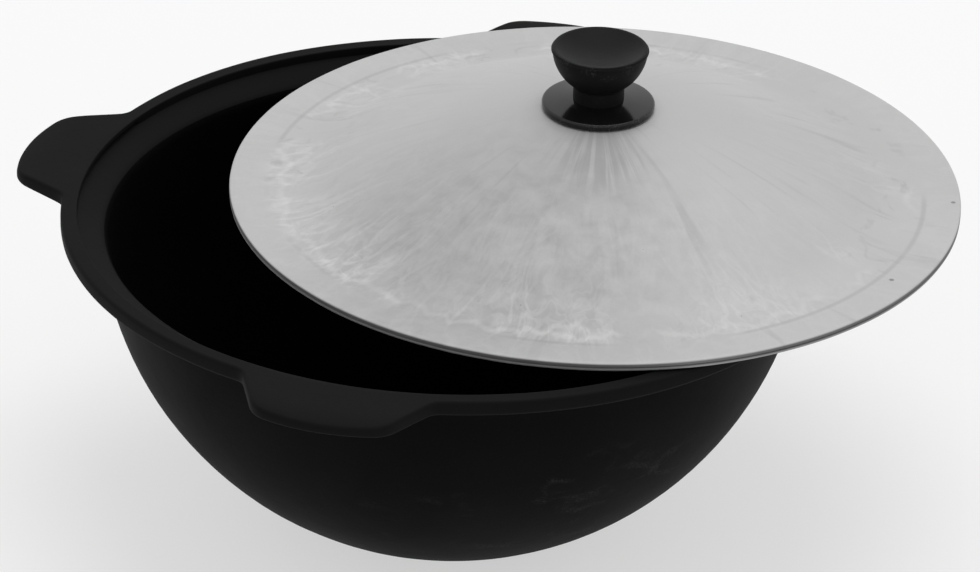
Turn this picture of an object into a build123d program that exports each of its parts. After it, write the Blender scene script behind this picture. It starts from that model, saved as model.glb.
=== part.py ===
from build123d import *
import os
from math import acos, asin, atan2, cos, degrees, hypot, radians, sin, sqrt

# Round-bottomed cast-iron kazan whose domed aluminium lid lies slid aside on the rim.
# Millimetres, +Z up. The origin is the centre of the flat foot. The ears are on +X, +Y, -X and -Y.

# Cast bowl
BOWL_R = 181.0            # outside radius of the hemisphere
WALL = 4.5                # iron wall
FOOT_CUT = 6.5            # height of the spherical cap that is cast flat as a foot
FOOT_BLEND = 25.0         # round between foot and bowl
FLOOR = 5.5               # iron under the inside floor
FLOOR_BLEND = 80.0        # round between inside floor and wall
CENTRE_ABOVE_RIM = 2.0    # the hemisphere's centre lies this far above the rim's top face
FLANGE_W = 19.0           # how far the rim flange stands out beyond the hemisphere
FLANGE_EDGE = 8.0         # thickness of the flange at its outer edge
FLANGE_ROOT_DROP = 4.0    # how much further down the flange's underside meets the bowl
ROOT_BLEND = 9.0          # round between the flange's underside and the bowl
RIM_FACE_W = 8.8          # width of the flange's level top, out from the step
SEAT_STEP = 4.6           # depth of that step
LEDGE_DEPTH = 11.0        # depth at which the sloping ledge below the step meets the wall
LEDGE_BLEND = 7.0         # round between the ledge and the inside wall
EDGE_ROUND = 2.0          # round on the flange's and ears' edges
SEAT_ROUND = 0.8          # round on the step's top edge

# Ears, cast in one with the flange
EAR_COUNT = 4
EAR_LENGTH = 31.0         # how far an ear stands out beyond the flange
EAR_ROOT_HALF = 46.0      # half the ear's width at the flange
EAR_TIP_HALF = 31.0       # half the ear's width at its tip, before the corners are rounded
EAR_TIP_R = 90.0          # plan radius of the ear's bowed tip
EAR_CORNER = 17.0         # plan radius of the ear's outer corners
EAR_FILLET = 9.0          # plan radius where the ear's flank meets the flange
EAR_LEVEL = 14.0          # length of the ear's top that is level with the rim
EAR_DROOP = 1.5           # how far the top falls from there to the tip
EAR_TIP_T = 5.5           # thickness of the ear at its tip

# Lid
LID_CLEAR = 4.2           # radial clearance of the closed lid in the seat
LID_T = 2.2               # aluminium wall
LIP_H = 4.6               # height of the brim's top face above the lip's lower edge
BEAD_R = 1.1              # radius of the bead along the lip's lower edge
BRIM_W = 19.0             # width of the flat brim
BRIM_BLEND = 70.0         # hollow round between brim and dome
DOME_H = 49.6             # height of the knob pad above the lip's lower edge
DOME_CROWN = 420.0        # radius of the dome's slightly rounded flank
PAD_R = 31.0              # flat pad under the knob
BRIM_EDGE_ROUND = 1.0     # round on the brim's outer edge
LIP_GROOVE = 0.8          # how far the lip's wall stands in from the brim's edge

# Where the lid lies in this state: slid aside and flat on the rim
LID_SLIDE = 74.6          # distance of the lid's axis from the bowl's axis
LID_SLIDE_ANGLE = 31.7    # direction of the slide, from +X towards +Y, in degrees
REST_GAP = 0.3            # clearance between the lip and the rim

# Knob
GRIP_R = 24.3             # radius of the round grip
GRIP_LIP = 1.6            # width of the rim round the dished top
DISH_DEPTH = 5.0          # depth of the dish
FLASH_W = 0.5             # mould flash that stands out round the grip's widest line
FLASH_H = 0.8             # height of the flash line
FLASH_DROP = 0.9          # how far the flash lies below the grip's top rim
GRIP_EDGE_ROUND = 0.6     # rounds on the rim of the dish
NECK_BLEND = 1.5          # round between neck and ball
NECK_R = 13.0             # radius of the neck
KNOB_H = 33.5             # height of the grip's top rim above the skirt's underside
SKIRT_R = 28.8            # radius of the skirt
SKIRT_EDGE = 3.5          # height of the skirt's edge
SKIRT_RISE = 1.8          # how far the skirt's top rises from its edge to the neck
SKIRT_EDGE_ROUND = 1.2    # round on the skirt's edge
SPIGOT_R = 8.0            # locating spigot on the skirt, inside the neck
SPIGOT_H = 2.0            # height of the spigot
SPIGOT_CLEAR = 0.1        # clearance round and above the spigot
KNOB_GAP = 0.3            # clearance under the skirt, so that the knob turns

# Fixings
SCREW_R = 2.5             # M5 screw
SCREW_CLEAR = 0.05        # radial clearance of the screw in its insert
HOLE_CLEAR = 0.4          # radial clearance of the screw in lid and skirt
SCREW_GRIP = 12.0         # length of screw inside the insert
SCREW_TIP_GAP = 1.5       # bore left free beyond the screw's tip
SCREW_TIP_ROUND = 0.8     # round on the screw's tip
HEAD_R = 4.6              # screw head
HEAD_H = 3.2
HEAD_ROUND = 1.4          # round on the head's lower edge
SLOT_W = 1.2              # screwdriver slot
SLOT_D = 1.5
WASHER_R = 7.5            # plain washer
WASHER_T = 1.2
WASHER_CLEAR = 0.25       # radial clearance of the screw in both washers
SPRING_R = 4.4            # spring washer
SPRING_T = 1.2
SPRING_SPLIT = 0.9        # width of the spring washer's split
INSERT_R = 5.0            # brass insert
INSERT_L = 15.0
INSERT_GROOVE = 0.6       # depth of the groove that anchors the insert
INSERT_GROOVE_W = 2.0

# Sizes and places worked out from the ones above
FLANGE_R = BOWL_R + FLANGE_W
SEAT_R = FLANGE_R - RIM_FACE_W
EAR_REACH = FLANGE_R + EAR_LENGTH
LID_R = SEAT_R - LID_CLEAR
CENTRE_Z = BOWL_R - FOOT_CUT
RIM_Z = CENTRE_Z - CENTRE_ABOVE_RIM
LID_X = LID_SLIDE * cos(radians(LID_SLIDE_ANGLE))
LID_Y = LID_SLIDE * sin(radians(LID_SLIDE_ANGLE))
LID_Z = RIM_Z + REST_GAP
KNOB_Z = LID_Z + DOME_H + KNOB_GAP
GRIP_Z = SKIRT_EDGE + SKIRT_RISE
HOLE_R = SCREW_R + HOLE_CLEAR


def spun(section):
    """Turn a section drawn in the XZ plane, at x above zero, about Z."""
    return revolve(Plane.XZ * section, Axis.Z)


def slab(x0, x1, y0, y1):
    """A rectangle by its corners, in the section plane."""
    return Pos((x0 + x1) / 2, (y0 + y1) / 2) * Rectangle(x1 - x0, y1 - y0)


def corner(sketch, x, y, radius):
    """Round the corner of the sketch that lies nearest to x, y."""
    point = Vector(x, y)
    nearest = min(sketch.vertices(), key=lambda v: (Vector(*v) - point).length)
    return fillet(nearest, radius)


def bowl_section():
    """Half section of the bowl and its rim, without ears."""
    inner_r = BOWL_R - WALL
    root_z = RIM_Z - FLANGE_EDGE - FLANGE_ROOT_DROP
    ledge_z = RIM_Z - LEDGE_DEPTH
    root_r = sqrt(BOWL_R**2 - (CENTRE_Z - root_z) ** 2)
    ledge_r = sqrt(inner_r**2 - (CENTRE_Z - ledge_z) ** 2)
    foot_r = sqrt(BOWL_R**2 - CENTRE_Z**2)
    floor_r = sqrt(inner_r**2 - (CENTRE_Z - FLOOR) ** 2)
    outside = (Pos(0, CENTRE_Z) * Circle(BOWL_R)) & slab(0, FLANGE_R, 0, root_z)
    rim = make_face(
        Polyline(
            (0, RIM_Z),
            (FLANGE_R, RIM_Z),
            (FLANGE_R, RIM_Z - FLANGE_EDGE),
            (root_r, root_z),
            (0, root_z),
            close=True,
        )
    )
    inside = (Pos(0, CENTRE_Z) * Circle(inner_r)) & slab(0, FLANGE_R, FLOOR, ledge_z)
    mouth = make_face(
        Polyline(
            (0, RIM_Z),
            (SEAT_R, RIM_Z),
            (SEAT_R, RIM_Z - SEAT_STEP),
            (ledge_r, ledge_z),
            (0, ledge_z),
            close=True,
        )
    )
    section = outside + rim - inside - mouth
    section = corner(section, foot_r, 0, FOOT_BLEND)
    section = corner(section, floor_r, FLOOR, FLOOR_BLEND)
    section = corner(section, root_r, root_z, ROOT_BLEND)
    section = corner(section, ledge_r, ledge_z, LEDGE_BLEND)
    return corner(section, SEAT_R, RIM_Z, SEAT_ROUND)


def ear_section():
    """Half section that every ear has: level at first, then drooping to a thinner tip."""
    level_end = FLANGE_R + EAR_LEVEL
    run = EAR_LENGTH - EAR_LEVEL
    droop_r = (run**2 + EAR_DROOP**2) / (2 * EAR_DROOP)
    past_tip = run + EDGE_ROUND
    top = Line((SEAT_R, RIM_Z), (level_end, RIM_Z))
    droop = JernArc((level_end, RIM_Z), (1, 0), droop_r, -degrees(asin(past_tip / droop_r)))
    end = droop @ 1
    rest = Polyline(
        (end.X, end.Y),
        (end.X, RIM_Z - EAR_DROOP - EAR_TIP_T),
        (FLANGE_R, RIM_Z - FLANGE_EDGE),
        (SEAT_R, RIM_Z - FLANGE_EDGE),
        (SEAT_R, RIM_Z),
    )
    return make_face([*top.edges(), *droop.edges(), *rest.edges()])


def ear_outline():
    """One ear on +X, seen from above, with its root inside the flange."""
    taper = (EAR_ROOT_HALF - EAR_TIP_HALF) / EAR_LENGTH
    root_half = EAR_ROOT_HALF + taper * RIM_FACE_W
    ear = make_face(
        Polyline(
            (SEAT_R, -root_half),
            (EAR_REACH, -EAR_TIP_HALF),
            (EAR_REACH, EAR_TIP_HALF),
            (SEAT_R, root_half),
            close=True,
        )
    )
    ear = ear & Pos(EAR_REACH - EAR_TIP_R, 0) * Circle(EAR_TIP_R)
    tips = [v for v in ear.vertices() if v.X > FLANGE_R and abs(v.Y) > EAR_CORNER]
    return fillet(tips, EAR_CORNER)


def rim_plan():
    """Flange and ears seen from above."""
    plan = Circle(FLANGE_R)
    for i in range(EAR_COUNT):
        plan += Rot(0, 0, 360 * i / EAR_COUNT) * ear_outline()
    roots = [v for v in plan.vertices() if hypot(v.X, v.Y) < FLANGE_R + EDGE_ROUND]
    return fillet(roots, EAR_FILLET)


def is_sharp_rim_edge(edge):
    """True for the flange's and ears' top and bottom edges, and not for the upright ones."""
    farthest = max(hypot(v.X, v.Y) for v in edge.vertices())
    upright = abs((edge % 0.5).Z) > cos(radians(45))
    return farthest > FLANGE_R - REST_GAP and not upright


def cast_bowl():
    """Bowl, rim flange and four ears: one iron casting."""
    plate_h = EAR_DROOP + FLANGE_EDGE + EAR_TIP_T
    plate = extrude(Pos(0, 0, RIM_Z - plate_h) * rim_plan(), plate_h)
    bowl = spun(bowl_section()) + (plate & spun(ear_section()))
    return fillet([edge for edge in bowl.edges() if is_sharp_rim_edge(edge)], EDGE_ROUND)


def dome_angles():
    """Slopes at the two ends of the dome's flank, in degrees: above the hollow, and at the knob pad."""
    run = LID_R - BRIM_W - PAD_R
    rise = DOME_H - LIP_H
    sum_r = BRIM_BLEND + DOME_CROWN
    across = BRIM_BLEND - rise
    reach = hypot(run, across)
    turn = acos((sum_r**2 - reach**2 - DOME_CROWN**2) / (2 * reach * DOME_CROWN))
    pad_slope = atan2(run, across) - turn
    steep = asin((run + DOME_CROWN * sin(pad_slope)) / sum_r)
    return degrees(steep), degrees(pad_slope)


def dome_line(drop):
    """The dome from brim to pad in section, the given distance below its top face."""
    steep, pad_slope = dome_angles()
    hollow = JernArc((LID_R - BRIM_W, LIP_H - drop), (-1, 0), BRIM_BLEND + drop, -steep)
    crown = JernArc(hollow @ 1, hollow % 1, DOME_CROWN - drop, steep - pad_slope)
    return [hollow.edge(), crown.edge()]


def lid_shell():
    """Aluminium lid: flat brim, turned-down lip with a bead, dome and knob pad."""
    top = dome_line(0)
    under = dome_line(LID_T)
    top_end = top[-1] @ 1
    under_end = under[-1] @ 1
    brim_top = Line((LID_R, LIP_H), (LID_R - BRIM_W, LIP_H))
    brim_edge = Line((LID_R, LIP_H), (LID_R, LIP_H - LID_T))
    brim_under = Line((LID_R, LIP_H - LID_T), (LID_R - BRIM_W, LIP_H - LID_T))
    pad_top = Line(top_end, (0, DOME_H))
    pad_under = Line(under_end, (0, DOME_H - LID_T))
    axis = Line((0, DOME_H), (0, DOME_H - LID_T))
    lines = [brim_top, brim_edge, brim_under, pad_top, pad_under, axis]
    wall = make_face([*top, *under, *[line.edge() for line in lines]])
    lip = slab(LID_R - LIP_GROOVE - LID_T, LID_R - LIP_GROOVE, BEAD_R, LIP_H - LID_T)
    bead = Pos(LID_R - BEAD_R, BEAD_R) * Circle(BEAD_R)
    section = corner(wall + lip, LID_R, LIP_H, BRIM_EDGE_ROUND) + bead
    section -= slab(0, HOLE_R, 0, DOME_H + LID_T)
    return spun(section)


def insert_section():
    """Half section of the insert without its bore, with the groove that anchors it in the grip."""
    foot_z = GRIP_Z + SPIGOT_H + SPIGOT_CLEAR
    groove_z = foot_z + (INSERT_L - INSERT_GROOVE_W) / 2
    body = slab(0, INSERT_R, foot_z, foot_z + INSERT_L)
    return body - slab(INSERT_R - INSERT_GROOVE, INSERT_R, groove_z, groove_z + INSERT_GROOVE_W)


def threaded_insert():
    """Brass bush moulded into the grip."""
    foot_z = GRIP_Z + SPIGOT_H + SPIGOT_CLEAR
    bore = slab(0, SCREW_R + SCREW_CLEAR, foot_z, foot_z + SCREW_GRIP + SCREW_TIP_GAP)
    return spun(insert_section() - bore)


def knob_grip():
    """Bakelite grip: half ball with a dished top and mould flash, and its neck."""
    dish_half = GRIP_R - GRIP_LIP
    dish_r = (dish_half**2 + DISH_DEPTH**2) / (2 * DISH_DEPTH)
    ball = (Pos(0, KNOB_H) * Circle(GRIP_R)) & slab(0, GRIP_R, 0, KNOB_H)
    neck = slab(0, NECK_R, GRIP_Z, KNOB_H - DISH_DEPTH)
    neck_top = KNOB_H - sqrt(GRIP_R**2 - NECK_R**2)
    dish = (Pos(0, KNOB_H - DISH_DEPTH + dish_r) * Circle(dish_r)) & slab(0, dish_r, 0, 2 * KNOB_H)
    section = corner(ball + neck, NECK_R, neck_top, NECK_BLEND) - dish
    section = corner(section, GRIP_R, KNOB_H, GRIP_EDGE_ROUND)
    section = corner(section, dish_half, KNOB_H, GRIP_EDGE_ROUND)
    flash_z = KNOB_H - FLASH_DROP
    flash = slab(GRIP_R - GRIP_LIP, GRIP_R + FLASH_W, flash_z - FLASH_H, flash_z)
    recess = slab(0, SPIGOT_R + SPIGOT_CLEAR, GRIP_Z, GRIP_Z + SPIGOT_H + SPIGOT_CLEAR)
    return spun(section + flash - recess - insert_section())


def knob_skirt():
    """Bakelite disc under the neck, with a spigot that centres the grip."""
    section = make_face(
        Polyline(
            (HOLE_R, 0),
            (SKIRT_R, 0),
            (SKIRT_R, SKIRT_EDGE),
            (NECK_R, GRIP_Z),
            (HOLE_R, GRIP_Z),
            close=True,
        )
    )
    section = corner(section, SKIRT_R, 0, SKIRT_EDGE_ROUND)
    section = corner(section, SKIRT_R, SKIRT_EDGE, SKIRT_EDGE_ROUND)
    return spun(section + slab(HOLE_R, SPIGOT_R, GRIP_Z, GRIP_Z + SPIGOT_H))


def washer(outer_r, top_z, thickness):
    """Flat ring round the screw, its top at the given height above the lid's lip."""
    ring = Circle(outer_r) - Circle(SCREW_R + WASHER_CLEAR)
    return extrude(Pos(0, 0, top_z - thickness) * ring, thickness)


def plain_washer():
    """Wide washer that bears on the lid's underside."""
    return washer(WASHER_R, DOME_H - LID_T, WASHER_T)


def spring_washer():
    """Split spring washer, pressed flat between the plain washer and the screw's head."""
    top_z = DOME_H - LID_T - WASHER_T
    split = Pos(SPRING_R / 2, 0, top_z - SPRING_T / 2) * Box(SPRING_R, SPRING_SPLIT, SPRING_T)
    return washer(SPRING_R, top_z, SPRING_T) - split


def fixing_screw():
    """Pan-head screw up through lid and skirt into the insert."""
    head_top = DOME_H - LID_T - WASHER_T - SPRING_T
    tip_z = DOME_H + KNOB_GAP + GRIP_Z + SPIGOT_H + SPIGOT_CLEAR + SCREW_GRIP
    head = slab(0, HEAD_R, head_top - HEAD_H, head_top)
    head = corner(head, HEAD_R, head_top - HEAD_H, HEAD_ROUND)
    shank = corner(slab(0, SCREW_R, head_top, tip_z), SCREW_R, tip_z, SCREW_TIP_ROUND)
    slot = Pos(0, 0, head_top - HEAD_H + SLOT_D / 2) * Box(2 * HEAD_R, SLOT_W, SLOT_D)
    return spun(head + shank) - slot


def main():
    on_lid = Pos(LID_X, LID_Y, LID_Z)
    on_knob = Pos(LID_X, LID_Y, KNOB_Z)
    nodes = {
        "cast_bowl": cast_bowl(),
        "lid_shell": on_lid * lid_shell(),
        "knob_grip": on_knob * knob_grip(),
        "knob_skirt": on_knob * knob_skirt(),
        "threaded_insert": on_knob * threaded_insert(),
        "fixing_screw": on_lid * fixing_screw(),
        "spring_washer": on_lid * spring_washer(),
        "plain_washer": on_lid * plain_washer(),
    }
    os.makedirs("parts", exist_ok=True)
    for name, shape in nodes.items():
        export_step(shape, f"parts/{name}.step")
        print(f"{name}: {shape.volume:.0f} mm3")


if __name__ == "__main__":
    main()
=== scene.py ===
"""Looks of a cast-iron kazan whose domed aluminium lid lies slid aside on the rim.

Metres, +Z up, origin at the centre of the bowl's flat foot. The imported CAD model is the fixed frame.
"""
import logging
from dataclasses import dataclass
from enum import Enum
from math import acos, asin, atan2, cos, hypot, pi, radians, sin, sqrt
from typing import Any, Mapping, Optional, Union

import bpy
import numpy as np
from mathutils import Matrix, Vector


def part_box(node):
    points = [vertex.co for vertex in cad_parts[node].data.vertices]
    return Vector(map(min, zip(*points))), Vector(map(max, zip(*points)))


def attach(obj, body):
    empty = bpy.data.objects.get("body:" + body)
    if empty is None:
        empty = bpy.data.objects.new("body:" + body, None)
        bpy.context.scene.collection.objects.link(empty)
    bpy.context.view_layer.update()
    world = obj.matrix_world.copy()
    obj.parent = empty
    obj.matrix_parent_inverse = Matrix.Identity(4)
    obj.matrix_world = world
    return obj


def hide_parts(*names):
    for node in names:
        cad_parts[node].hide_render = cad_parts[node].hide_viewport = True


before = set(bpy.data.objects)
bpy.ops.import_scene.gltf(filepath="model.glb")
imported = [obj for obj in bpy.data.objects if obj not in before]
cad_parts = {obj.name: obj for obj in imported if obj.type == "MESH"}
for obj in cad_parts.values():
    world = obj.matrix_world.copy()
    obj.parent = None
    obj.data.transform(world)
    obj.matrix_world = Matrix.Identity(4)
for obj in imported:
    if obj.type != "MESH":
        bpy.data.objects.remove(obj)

LOG = logging.getLogger("kazan")
MERGE = 2e-6          # points nearer than this are one point
SMOOTH_ANGLE = 40.0   # degrees; sharper edges stay crisp

Point = tuple[float, float]
Triple = tuple[float, float, float]
Span = tuple[float, float]   # where a fade is 0, and where it is 1
Operand = Union["Signal", float]


class Body(Enum):
    """The bodies that pieces ride on."""

    BOWL = "bowl"
    LID = "lid"
    KNOB = "knob"


class Slot(Enum):
    """Material slots of the record."""

    IRON = "cast_iron"
    LID = "lid_aluminium"
    GRIP = "grip_bakelite"
    SKIRT = "skirt_bakelite"
    INSERT = "insert_brass"
    SCREW = "screw_steel"
    SPRING = "spring_washer_steel"
    WASHER = "plain_washer_steel"


# Shader graphs


class Signal:
    """One output of a shader graph. Arithmetic on it adds Math nodes."""

    def __init__(self, graph: "Graph", socket: bpy.types.NodeSocket) -> None:
        """Keep the graph and the output socket."""
        self.graph = graph
        self.socket = socket

    def _math(self, operation: str, first: Operand, second: Operand = 0.0) -> "Signal":
        """Add one Math node on two values."""
        return self.graph.node("ShaderNodeMath", {"operation": operation}, {0: first, 1: second})

    def __add__(self, other: Operand) -> "Signal":
        """Sum."""
        return self._math("ADD", self, other)

    def __radd__(self, other: Operand) -> "Signal":
        """Sum with the number first."""
        return self._math("ADD", other, self)

    def __sub__(self, other: Operand) -> "Signal":
        """Difference."""
        return self._math("SUBTRACT", self, other)

    def __rsub__(self, other: Operand) -> "Signal":
        """Difference with the number first."""
        return self._math("SUBTRACT", other, self)

    def __mul__(self, other: Operand) -> "Signal":
        """Product."""
        return self._math("MULTIPLY", self, other)

    def __rmul__(self, other: Operand) -> "Signal":
        """Product with the number first."""
        return self._math("MULTIPLY", other, self)

    def __abs__(self) -> "Signal":
        """Absolute value."""
        return self._math("ABSOLUTE", self)

    def larger(self, other: Operand) -> "Signal":
        """The larger of two values."""
        return self._math("MAXIMUM", self, other)


@dataclass(frozen=True)
class Pattern:
    """Soft noise: width of its patches in metres, octaves and distortion."""

    size: float
    detail: float = 3.0
    warp: float = 0.0


@dataclass(frozen=True)
class Rays:
    """Noise drawn out along the radius: metres of it for a radian round the axis and a metre outwards."""

    around: float
    outward: float
    pattern: Pattern


@dataclass(frozen=True)
class Specks:
    """Small round specks: their mean distance, and a speck's radius as a share of it."""

    gap: float
    share: float


class Graph:
    """The node tree of a finish or of the sky, to which one method adds nodes."""

    def __init__(self, owner: Union[bpy.types.Material, bpy.types.World]) -> None:
        """Empty the owner's node tree.

        Args:
            owner: The material or world.
        """
        owner.use_nodes = True
        self.owner = owner
        self.tree = owner.node_tree
        self.tree.nodes.clear()

    def node(
        self,
        kind: str,
        settings: Optional[Mapping[str, Any]] = None,
        values: Optional[Mapping[Union[int, str], Any]] = None,
        output: Union[int, str] = 0,
    ) -> Signal:
        """Add a node.

        Args:
            kind: The node's type.
            settings: Its properties.
            values: Numbers, colours or signals for its input sockets.
            output: The output that is returned.

        Returns:
            That output as a signal.
        """
        made = self.tree.nodes.new(kind)
        for key, value in (settings or {}).items():
            setattr(made, key, value)
        for key, value in (values or {}).items():
            if isinstance(value, Signal):
                self.tree.links.new(value.socket, made.inputs[key])
            else:
                made.inputs[key].default_value = value
        return Signal(self, made.outputs[output])

    def vector(self, operation: str, values: Mapping[int, Any], output: str = "Vector") -> Signal:
        """Add one Vector Math node."""
        return self.node("ShaderNodeVectorMath", {"operation": operation}, values, output)

    def place(self, centre: Vector = Vector(), scale: Vector = Vector((1, 1, 1))) -> Signal:
        """Object coordinates about a centre.

        Args:
            centre: The point that becomes zero.
            scale: Factors along the three axes.

        Returns:
            The coordinates.
        """
        coordinates = self.node("ShaderNodeTexCoord", output="Object")
        shift = Vector(-c * s for c, s in zip(centre, scale))
        return self.node("ShaderNodeMapping", values={0: coordinates, 1: shift, 3: scale})

    def polar(self, centre: Vector) -> tuple[Signal, Signal, Signal]:
        """Coordinates of a round piece: about a point on its axis, from the axis and away from it."""
        flat = {0: self.place(centre, Vector((1, 1, 0)))}
        return self.place(centre), self.vector("LENGTH", flat, "Value"), self.vector("NORMALIZE", flat)

    def height(self, where: Signal) -> Signal:
        """The height in coordinates."""
        return self.node("ShaderNodeSeparateXYZ", values={0: where}, output="Z")

    def noise(self, where: Signal, pattern: Pattern) -> Signal:
        """Soft noise from 0 to 1."""
        values = {"Scale": 1 / pattern.size, "Detail": pattern.detail, "Distortion": pattern.warp}
        return self.node("ShaderNodeTexNoise", values={"Vector": where, **values}, output="Fac")

    def rings(self, radius: Signal, pattern: Pattern) -> Signal:
        """Fine uneven rings from 0 to 1."""
        values = {"W": radius, "Scale": 1 / pattern.size, "Detail": pattern.detail}
        return self.node("ShaderNodeTexNoise", {"noise_dimensions": "1D"}, values, "Fac")

    def rays(self, radius: Signal, away: Signal, rays: Rays) -> Signal:
        """Noise from 0 to 1 that is drawn out along the radius.

        Args:
            radius: Distance from the axis.
            away: Unit vector away from the axis.
            rays: How the noise is drawn out.

        Returns:
            The noise.
        """
        spread = self.vector("SCALE", {0: away, 3: rays.around})
        depth = self.node("ShaderNodeCombineXYZ", values={2: rays.outward * radius})
        return self.noise(self.vector("ADD", {0: spread, 1: depth}), rays.pattern)

    def specks(self, where: Signal, specks: Specks) -> Signal:
        """1 in a speck and 0 elsewhere.

        Args:
            where: Coordinates.
            specks: Distance and size of the specks.

        Returns:
            The mask.
        """
        cells = {"Vector": where, "Scale": 1 / specks.gap, "Randomness": 1.0}
        distance = self.node("ShaderNodeTexVoronoi", {"feature": "F1"}, cells, "Distance")
        return self.fade(distance, specks.share, specks.share / 2)

    def near(self, where: Signal, place: Triple, reach: float, full: float) -> Signal:
        """1 within the full distance of a place, and 0 beyond its reach."""
        return self.fade(self.vector("DISTANCE", {0: where, 1: place}, "Value"), reach, full)

    def fade(self, signal: Signal, low: float, high: float) -> Signal:
        """A smooth step.

        Args:
            signal: The value.
            low: Where the result is 0.
            high: Where the result is 1, above or below low.

        Returns:
            The step.
        """
        flip = high < low
        span = {1: min(low, high), 2: max(low, high), 3: float(flip), 4: float(not flip)}
        settings = {"interpolation_type": "SMOOTHSTEP", "clamp": True}
        return self.node("ShaderNodeMapRange", settings, {0: signal, **span})

    def blend(self, share: Operand, first: Any, second: Any) -> Signal:
        """Mix a share of a second colour into a first one."""
        settings = {"data_type": "RGBA", "clamp_factor": True}
        return self.node("ShaderNodeMix", settings, {0: share, 6: first, 7: second}, 2)

    def coats(self, tone: Any, *coats: tuple[Operand, float]) -> Signal:
        """Lay greys over a colour, one after another.

        Args:
            tone: The colour below.
            coats: Share and level of each grey.

        Returns:
            The colour that shows.
        """
        for share, level in coats:
            tone = self.blend(share, tone, grey(level))
        return tone

    def bump(self, height: Signal, depth: float) -> Signal:
        """A normal from a height from 0 to 1, with the depth of the relief in metres."""
        return self.node("ShaderNodeBump", values={"Height": height, "Distance": depth}, output="Normal")

    def shown(self) -> Signal:
        """1 for what the camera sees, straight, mirrored or through glass.

        Returns:
            The signal.
        """
        rays = ("Is Camera Ray", "Is Glossy Ray", "Is Transmission Ray")
        seen, mirrored, through = (self.node("ShaderNodeLightPath", output=ray) for ray in rays)
        return seen.larger(mirrored).larger(through)

    def end(self, shader: Signal) -> Any:
        """Link the shader to the output.

        Args:
            shader: The finished shader.

        Returns:
            The material or world.
        """
        kind = "World" if isinstance(self.owner, bpy.types.World) else "Material"
        output = self.tree.nodes.new("ShaderNodeOutput" + kind)
        self.tree.links.new(shader.socket, output.inputs["Surface"])
        return self.owner

    def surface(self, values: Mapping[str, Any]) -> bpy.types.Material:
        """End the tree in one Principled shader with these values."""
        return self.end(self.node("ShaderNodeBsdfPrincipled", values=values))


def grey(level: float) -> tuple[float, float, float, float]:
    """A neutral colour."""
    return (level, level, level, 1.0)


@dataclass(frozen=True)
class SeasonedIron:
    """Black iron as cast, in oiled patches, with painted shade below the flange, sand grain and pale
    scuffs.
    """

    dark: float = 0.0030
    light: float = 0.0074
    # painted shade: the dark tone of the body below the flange
    body_shade_tone: float = 0.0005
    scuff: float = 0.030
    specular: float = 0.052
    roughness: float = 0.56
    patch_roughness: float = 0.20
    scuff_roughness: float = 0.12
    grain: Pattern = Pattern(0.0011, 2.0)
    pits: Pattern = Pattern(0.007, 3.0, 0.4)
    patches: Pattern = Pattern(0.060, 4.0, 0.6)
    rubbing: Pattern = Pattern(0.026, 5.0, 0.8)
    rubbing_width: float = 1.8              # of a rubbed patch, as a multiple of its height
    relief_depth: float = 0.00016
    pit_relief: float = 0.6                 # the pits' share; the grain has the rest
    # painted shade below the flange: the heights where it fades in, and its strength
    body_shade_line: Span = (0.166, 0.150)        # heights
    body_shade_share: float = 0.85
    scuff_low: Span = (0.020, 0.050)        # heights
    scuff_high: Span = (0.135, 0.105)
    rubbed: Span = (0.52, 0.72)             # levels of the rubbing's noise
    scattered: Span = (0.50, 0.62)          # levels of the patches' noise
    scattered_share: float = 0.30
    on_grain: Span = (0.30, 0.60)           # levels of the grain's noise
    worst_place: Triple = (0.100, -0.105, 0.075)
    worst_reach: Span = (0.085, 0.030)
    worst_share: float = 0.80

    def material(self, name: str) -> bpy.types.Material:
        """Build the finish.

        Args:
            name: The material's name.

        Returns:
            The material.
        """
        graph = Graph(bpy.data.materials.new(name))
        here = graph.place()
        height = graph.height(here)
        grain, pits = graph.noise(here, self.grain), graph.noise(here, self.pits)
        patches = graph.noise(here, self.patches)
        rubbing = graph.noise(graph.place(scale=Vector((1, 1, self.rubbing_width))), self.rubbing)
        band = graph.fade(height, *self.scuff_low) * graph.fade(height, *self.scuff_high)
        scattered = self.scattered_share * graph.fade(patches, *self.scattered)
        worst = self.worst_share * graph.near(here, self.worst_place, *self.worst_reach)
        scuffs = graph.fade(rubbing, *self.rubbed) * (scattered + worst) * band
        oiled = graph.blend(patches, grey(self.dark), grey(self.light))
        # painted shade: the body below the flange darker than the flange's top
        body_shaded = self.body_shade_share * graph.fade(height, *self.body_shade_line)
        scuffed = scuffs * graph.fade(grain, *self.on_grain)
        relief = self.pit_relief * pits + (1 - self.pit_relief) * grain
        values = {
            "Base Color": graph.coats(oiled, (body_shaded, self.body_shade_tone), (scuffed, self.scuff)),
            "Roughness": self.roughness + self.patch_roughness * patches + self.scuff_roughness * scuffs,
            "Specular IOR Level": self.specular,
            "Normal": graph.bump(relief, self.relief_depth),
        }
        return graph.surface(values)


@dataclass(frozen=True)
class PaintedShadeInside:
    """The bowl's inside: iron painted nearly light-less, as painted shade in the deep bowl."""

    # painted shade: both tones lie far below the outside iron's
    dark: float = 0.0006
    light: float = 0.0014
    specular: float = 0.03
    roughness: float = 0.7
    grain_roughness: float = 0.15
    patches: Pattern = Pattern(0.035, 5.0, 0.8)
    grain: Pattern = Pattern(0.0016, 2.0)
    relief_depth: float = 0.00012

    def material(self, name: str) -> bpy.types.Material:
        """Build the finish.

        Args:
            name: The material's name.

        Returns:
            The material.
        """
        graph = Graph(bpy.data.materials.new(name))
        here = graph.place()
        patches, grain = graph.noise(here, self.patches), graph.noise(here, self.grain)
        values = {
            "Base Color": graph.blend(patches, grey(self.dark), grey(self.light)),
            "Roughness": self.roughness + self.grain_roughness * grain,
            "Specular IOR Level": self.specular,
            "Normal": graph.bump(grain, self.relief_depth),
        }
        return graph.surface(values)


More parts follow.
